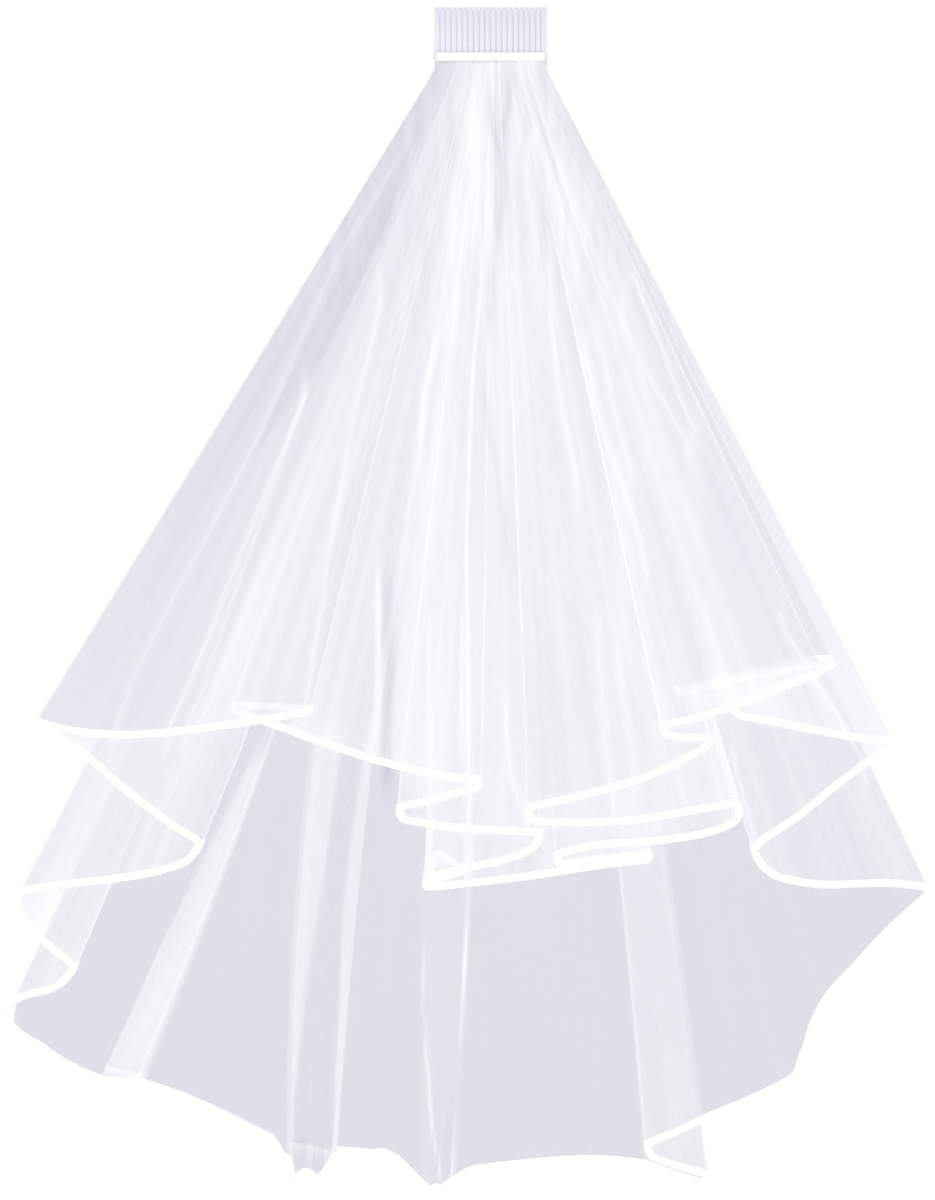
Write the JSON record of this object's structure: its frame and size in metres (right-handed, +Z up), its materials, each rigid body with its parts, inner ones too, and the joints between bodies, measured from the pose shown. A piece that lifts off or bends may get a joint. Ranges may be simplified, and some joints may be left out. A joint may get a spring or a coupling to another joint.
{
  "type": "bridal veil",
  "caption": "Two-tier bridal veil of soft tulle with satin ribbon edging, gathered onto a clear plastic comb and laid flat in a fan.",
  "frame": {"origin": "on the floor, under the middle of the veil as it lies flat", "axes": "+Z up from the floor, +Y from the hem toward the comb"},
  "size_m": [0.6212, 0.7928, 0.0168],
  "materials": {
    "tulle": "soft open net",
    "satin_ribbon": "satin",
    "clear_comb": "clear, slightly frosted"
  },
  "bodies": {
    "root": {"upper_tier": "tulle", "lower_tier": "tulle", "left_fall": "tulle", "right_fall": "tulle", "upper_ribbon": "satin_ribbon", "lower_ribbon": "satin_ribbon", "left_ribbon": "satin_ribbon", "right_ribbon": "satin_ribbon", "gather_band": "satin_ribbon", "comb": "clear_comb"}
  },
  "joints": []
}
